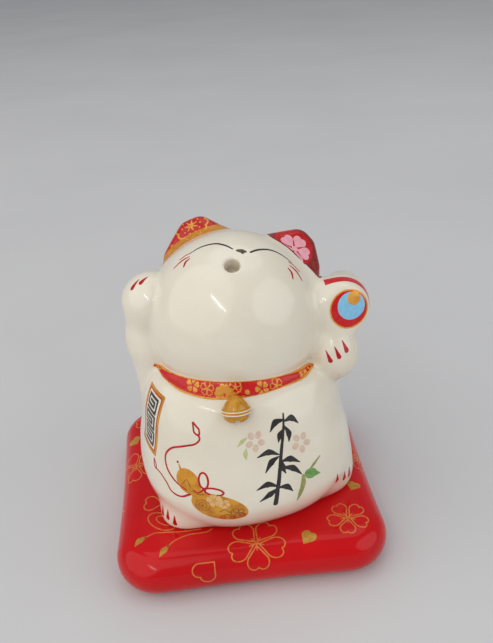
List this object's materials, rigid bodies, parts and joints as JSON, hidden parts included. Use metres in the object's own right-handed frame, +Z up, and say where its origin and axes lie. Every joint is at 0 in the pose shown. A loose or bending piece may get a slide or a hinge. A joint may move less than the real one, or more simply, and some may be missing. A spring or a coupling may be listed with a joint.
{
  "type": "beckoning cat figurine",
  "caption": "Glazed ceramic cat, seated with its head thrown back and a small mallet in a raised paw, standing loose on a ceramic cushion; the round mouth is a shallow socket.",
  "frame": {"origin": "centre of the cushion's underside, where it rests", "axes": "+Z up, -Y the front that the cat looks over, +X the cat's left; the cushion's sides lie along X and Y and the cat is turned a little on it"},
  "size_m": [0.076, 0.076, 0.0879],
  "materials": {
    "white_glaze": "warm ivory gloss glaze over white earthenware",
    "red_glaze": "deep red gloss glaze",
    "bare_clay": "unglazed fired clay on the foot rims and in the mouth socket",
    "ear_red": "red overglaze enamel",
    "collar_red": "red overglaze enamel",
    "bell_ochre": "ochre gold overglaze enamel",
    "gold_enamel": "gold overglaze decoration",
    "ochre_enamel": "ochre overglaze enamel",
    "red_enamel": "red overglaze brush lines",
    "black_enamel": "black overglaze brush lines",
    "blue_enamel": "light blue overglaze enamel",
    "pink_enamel": "pale pink overglaze enamel",
    "green_enamel": "green overglaze enamel"
  },
  "bodies": {
    "cushion": {"cushion_shell": "red_glaze"},
    "cat": {"torso_shell": "white_glaze", "head_shell": "white_glaze", "right_ear": "ear_red", "left_ear": "ear_red", "collar": "collar_red", "bell": "bell_ochre", "lucky_mallet": "white_glaze", "right_arm": "white_glaze", "left_arm": "white_glaze", "right_foot": "white_glaze", "left_foot": "white_glaze", "tail": "white_glaze"}
  },
  "joints": [
    {"name": "cat_lift", "type": "slide", "parent": "cushion", "child": "cat", "axis": [0, 0, 1], "range_m": [0, 0.04]}
  ]
}
